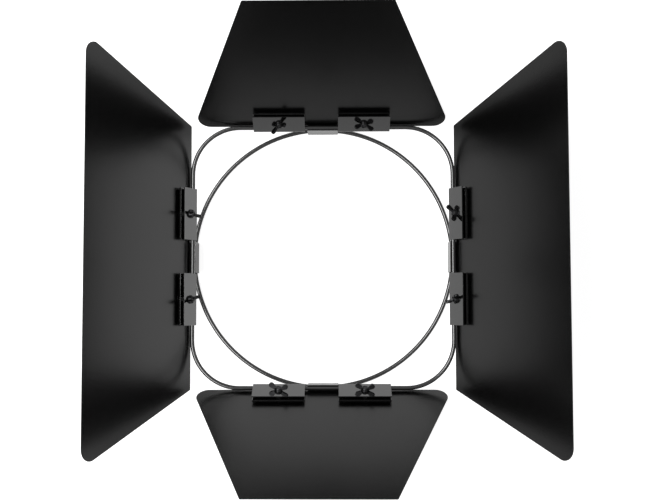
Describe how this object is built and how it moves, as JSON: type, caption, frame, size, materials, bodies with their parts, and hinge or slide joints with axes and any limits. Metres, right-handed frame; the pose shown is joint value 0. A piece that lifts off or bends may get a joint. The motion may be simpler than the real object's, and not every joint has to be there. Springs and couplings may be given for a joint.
{
  "type": "barn door attachment",
  "caption": "Four-leaf barn door for a round stage lamp: wire ring and square wire frame carrying hinged black leaves on wing-nut clamps.",
  "frame": {"origin": "centre of the back of the lamp ring", "axes": "+Z along the light beam away from the lamp, +Y toward the top leaf, +X toward the right leaf seen from the front"},
  "size_m": [0.5185, 0.5354, 0.2069],
  "materials": {
    "leaf_coat": "fine-textured semi-matt black powder coat on sheet steel",
    "clamp_coat": "smooth satin black coat on folded sheet steel",
    "wire_coat": "gloss black coat on steel rod",
    "tie_plate_coat": "gloss black coat on steel strip",
    "bolt_black": "black-finished steel",
    "nut_black": "black-finished cast steel"
  },
  "bodies": {
    "mounting_frame": {"lamp_ring": "wire_coat", "leaf_frame": "wire_coat", "top_tie_plate": "tie_plate_coat", "left_tie_plate": "tie_plate_coat", "bottom_tie_plate": "tie_plate_coat", "right_tie_plate": "tie_plate_coat", "ring_welds": "wire_coat", "frame_welds": "wire_coat"},
    "top_leaf_assembly": {"top_leaf": "leaf_coat", "top_left_clamp_base": "clamp_coat", "top_left_clamp_plate": "clamp_coat", "top_left_clamp_bolt": "bolt_black", "top_left_lock_nut": "bolt_black", "top_right_clamp_base": "clamp_coat", "top_right_clamp_plate": "clamp_coat", "top_right_clamp_bolt": "bolt_black", "top_right_lock_nut": "bolt_black"},
    "top_left_nut": {"top_left_wing_nut": "nut_black"},
    "top_right_nut": {"top_right_wing_nut": "nut_black"},
    "left_leaf_assembly": {"left_leaf": "leaf_coat", "left_lower_clamp_base": "clamp_coat", "left_lower_clamp_plate": "clamp_coat", "left_lower_clamp_bolt": "bolt_black", "left_lower_lock_nut": "bolt_black", "left_upper_clamp_base": "clamp_coat", "left_upper_clamp_plate": "clamp_coat", "left_upper_clamp_bolt": "bolt_black", "left_upper_lock_nut": "bolt_black"},
    "left_lower_nut": {"left_lower_wing_nut": "nut_black"},
    "left_upper_nut": {"left_upper_wing_nut": "nut_black"},
    "bottom_leaf_assembly": {"bottom_leaf": "leaf_coat", "bottom_right_clamp_base": "clamp_coat", "bottom_right_clamp_plate": "clamp_coat", "bottom_right_clamp_bolt": "bolt_black", "bottom_right_lock_nut": "bolt_black", "bottom_left_clamp_base": "clamp_coat", "bottom_left_clamp_plate": "clamp_coat", "bottom_left_clamp_bolt": "bolt_black", "bottom_left_lock_nut": "bolt_black"},
    "bottom_right_nut": {"bottom_right_wing_nut": "nut_black"},
    "bottom_left_nut": {"bottom_left_wing_nut": "nut_black"},
    "right_leaf_assembly": {"right_leaf": "leaf_coat", "right_upper_clamp_base": "clamp_coat", "right_upper_clamp_plate": "clamp_coat", "right_upper_clamp_bolt": "bolt_black", "right_upper_lock_nut": "bolt_black", "right_lower_clamp_base": "clamp_coat", "right_lower_clamp_plate": "clamp_coat", "right_lower_clamp_bolt": "bolt_black", "right_lower_lock_nut": "bolt_black"},
    "right_upper_nut": {"right_upper_wing_nut": "nut_black"},
    "right_lower_nut": {"right_lower_wing_nut": "nut_black"}
  },
  "joints": [
    {"name": "top_leaf_hinge", "type": "hinge", "parent": "mounting_frame", "child": "top_leaf_assembly", "pos_m": [0, 0.16127, 0.0276], "axis": [1, 0, 0], "range_deg": [-58.2, 121.8]},
    {"name": "top_left_nut_turn", "type": "hinge", "parent": "top_leaf_assembly", "child": "top_left_nut", "pos_m": [-0.0537, 0.16335, 0.03902], "axis": [0, -0.8499, 0.527], "continuous": true},
    {"name": "top_right_nut_turn", "type": "hinge", "parent": "top_leaf_assembly", "child": "top_right_nut", "pos_m": [0.0515, 0.16335, 0.03902], "axis": [0, -0.8499, 0.527], "continuous": true},
    {"name": "left_leaf_hinge", "type": "hinge", "parent": "mounting_frame", "child": "left_leaf_assembly", "pos_m": [-0.16127, 0, 0.0276], "axis": [0, 1, 0], "range_deg": [-64.7, 75.3]},
    {"name": "left_lower_nut_turn", "type": "hinge", "parent": "left_leaf_assembly", "child": "left_lower_nut", "pos_m": [-0.16204, -0.0524, 0.03918], "axis": [0.9041, 0, 0.4274], "continuous": true},
    {"name": "left_upper_nut_turn", "type": "hinge", "parent": "left_leaf_assembly", "child": "left_upper_nut", "pos_m": [-0.16204, 0.0528, 0.03918], "axis": [0.9041, 0, 0.4274], "continuous": true},
    {"name": "bottom_leaf_hinge", "type": "hinge", "parent": "mounting_frame", "child": "bottom_leaf_assembly", "pos_m": [0, -0.16127, 0.0276], "axis": [-1, 0, 0], "range_deg": [-60.3, 115.7]},
    {"name": "bottom_right_nut_turn", "type": "hinge", "parent": "bottom_leaf_assembly", "child": "bottom_right_nut", "pos_m": [0.0514, -0.16293, 0.03909], "axis": [0, 0.8686, 0.4955], "continuous": true},
    {"name": "bottom_left_nut_turn", "type": "hinge", "parent": "bottom_leaf_assembly", "child": "bottom_left_nut", "pos_m": [-0.0538, -0.16293, 0.03909], "axis": [0, 0.8686, 0.4955], "continuous": true},
    {"name": "right_leaf_hinge", "type": "hinge", "parent": "mounting_frame", "child": "right_leaf_assembly", "pos_m": [0.16127, 0, 0.0276], "axis": [0, -1, 0], "range_deg": [-59.4, 80.6]},
    {"name": "right_upper_nut_turn", "type": "hinge", "parent": "right_leaf_assembly", "child": "right_upper_nut", "pos_m": [0.16311, 0.0527, 0.03906], "axis": [-0.8607, 0, 0.509], "continuous": true},
    {"name": "right_lower_nut_turn", "type": "hinge", "parent": "right_leaf_assembly", "child": "right_lower_nut", "pos_m": [0.16311, -0.0525, 0.03906], "axis": [-0.8607, 0, 0.509], "continuous": true}
  ]
}
